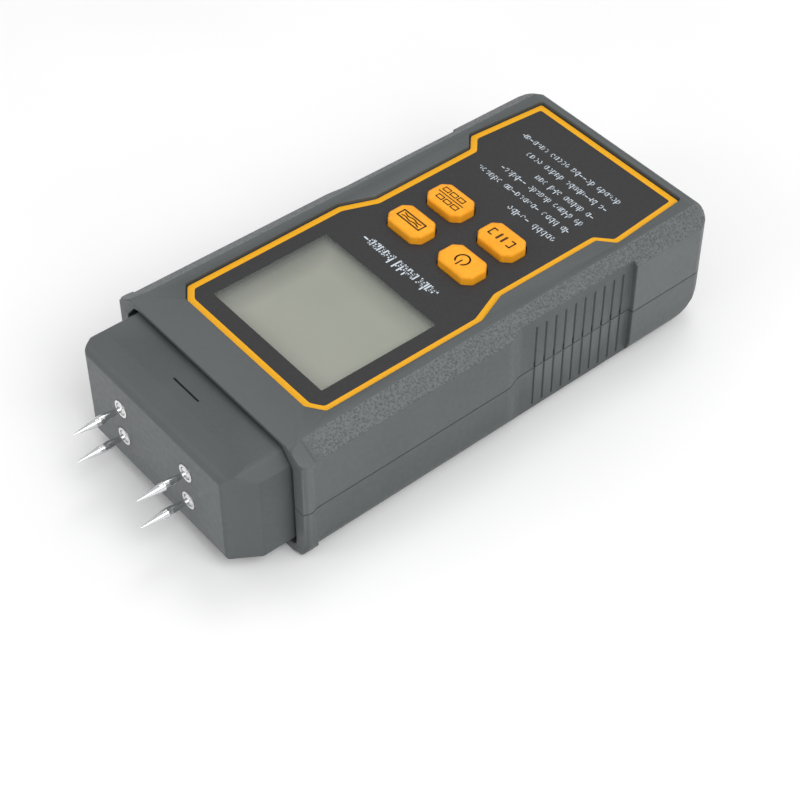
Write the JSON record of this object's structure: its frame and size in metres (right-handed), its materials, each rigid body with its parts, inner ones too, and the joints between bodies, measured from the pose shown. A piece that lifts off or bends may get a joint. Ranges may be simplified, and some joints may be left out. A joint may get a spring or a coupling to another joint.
{
  "type": "moisture meter",
  "caption": "Hand-held pin-type moisture meter with a two-part case, ribbed grips, display window, push buttons and a plug-in block of pointed electrode pins.",
  "frame": {"origin": "centre of the bounding box's footprint, on the back face", "axes": "+Z out of the display, +Y towards the electrode pins, +X to the right as the display is read"},
  "size_m": [0.0644, 0.1434, 0.0323],
  "materials": {
    "shell_plastic": "matt moulded plastic with fine grain on the bevels",
    "label_print": "printed satin label sheet",
    "window_clear": "clear plastic window",
    "lcd": "display glass, grey-green",
    "white_plastic": "moulded",
    "zebra": "layered conductive rubber",
    "button_orange": "satin moulded plastic",
    "black_plastic": "moulded",
    "cream_plastic": "moulded",
    "board": "coated glass-fibre board",
    "tin": "plated metal",
    "steel": "polished steel",
    "nickel": "bright plated metal",
    "brass": "plain",
    "blue_can": "sleeved can",
    "red_wire": "insulated wire",
    "black_wire": "insulated wire",
    "cell_jacket": "plain jacket, no print",
    "black_screw": "blackened steel"
  },
  "bodies": {
    "case": {"front_shell": "shell_plastic", "rear_shell": "shell_plastic", "sensor_head": "shell_plastic", "label_panel": "label_print", "display_window": "window_clear", "lcd_frame": "white_plastic", "lcd_glass": "lcd", "lcd_reflector": "white_plastic", "zebra_strip_front": "zebra", "zebra_strip_rear": "zebra", "power_switch": "black_plastic", "wood_switch": "black_plastic", "hold_switch": "black_plastic", "wall_switch": "black_plastic", "main_board": "board", "controller_chip": "black_plastic", "amplifier_chip": "black_plastic", "crystal": "tin", "board_capacitors": "blue_can", "pin_upper_left": "steel", "pin_upper_right": "steel", "pin_lower_left": "steel", "pin_lower_right": "steel", "ferrule_upper_left": "nickel", "ferrule_upper_right": "nickel", "ferrule_lower_left": "nickel", "ferrule_lower_right": "nickel", "contact_plate_left": "brass", "contact_plate_right": "brass", "pin_nuts": "brass", "lead_left": "red_wire", "lead_right": "black_wire", "battery_left": "cell_jacket", "battery_middle": "cell_jacket", "battery_right": "cell_jacket", "battery_springs": "nickel", "battery_plates": "nickel", "power_leads": "black_wire", "case_screws": "black_screw", "board_screws": "nickel"},
    "power_key": {"power_button": "button_orange", "power_plunger": "cream_plastic"},
    "wood_key": {"wood_button": "button_orange", "wood_plunger": "cream_plastic"},
    "hold_key": {"hold_button": "button_orange", "hold_plunger": "cream_plastic"},
    "wall_key": {"wall_button": "button_orange", "wall_plunger": "cream_plastic"},
    "door": {"battery_door": "shell_plastic"}
  },
  "joints": [
    {"name": "power_press", "type": "slide", "parent": "case", "child": "power_key", "axis": [0, 0, -1], "range_m": [0, 0.0006], "stiffness_N_per_m": 300},
    {"name": "wood_press", "type": "slide", "parent": "case", "child": "wood_key", "axis": [0, 0, -1], "range_m": [0, 0.0006], "stiffness_N_per_m": 300},
    {"name": "hold_press", "type": "slide", "parent": "case", "child": "hold_key", "axis": [0, 0, -1], "range_m": [0, 0.0006], "stiffness_N_per_m": 300},
    {"name": "wall_press", "type": "slide", "parent": "case", "child": "wall_key", "axis": [0, 0, -1], "range_m": [0, 0.0006], "stiffness_N_per_m": 300},
    {"name": "battery_door_slide", "type": "slide", "parent": "case", "child": "door", "axis": [0, -1, 0], "range_m": [0, 0.06]}
  ]
}
